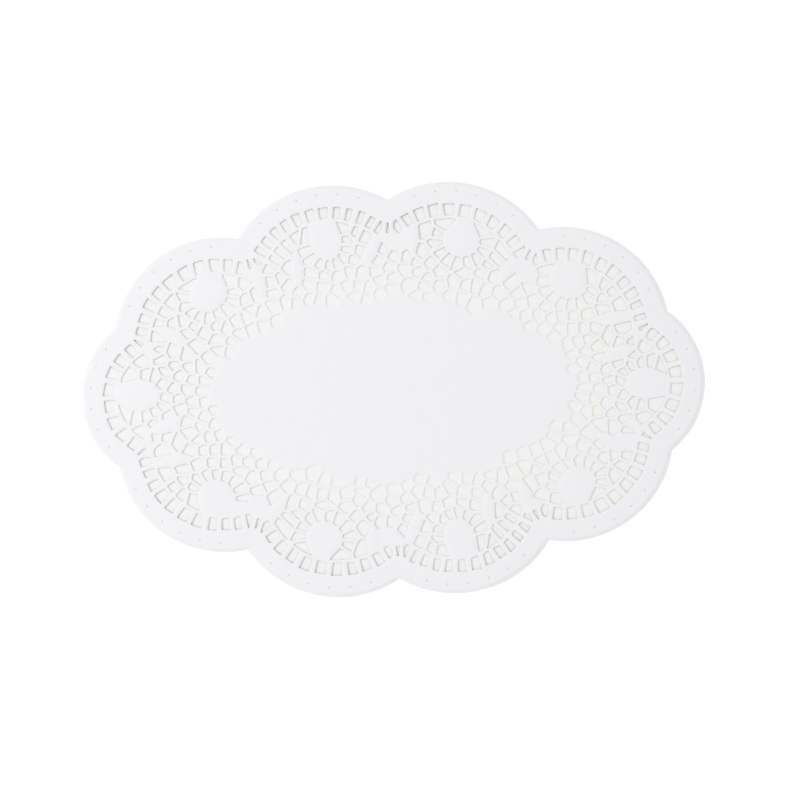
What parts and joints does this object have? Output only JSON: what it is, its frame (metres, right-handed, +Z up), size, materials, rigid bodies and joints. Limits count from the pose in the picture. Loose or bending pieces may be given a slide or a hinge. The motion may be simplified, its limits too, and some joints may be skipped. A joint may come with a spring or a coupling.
{
  "type": "oval paper lace doily",
  "caption": "Oval die-cut paper doily with a scalloped edge, a ring of cut lace and a plain oval middle, laid flat under cakes, plates or glasses",
  "frame": {"origin": "On the surface that the sheet lies on, under the middle of the oval", "axes": "+X along the length of the oval, +Y across it, +Z up, out of the face that shows"},
  "size_m": [0.3, 0.1982, 0.001],
  "materials": {
    "paper": "matt white"
  },
  "bodies": {
    "root": {"doily": "paper"}
  },
  "joints": []
}
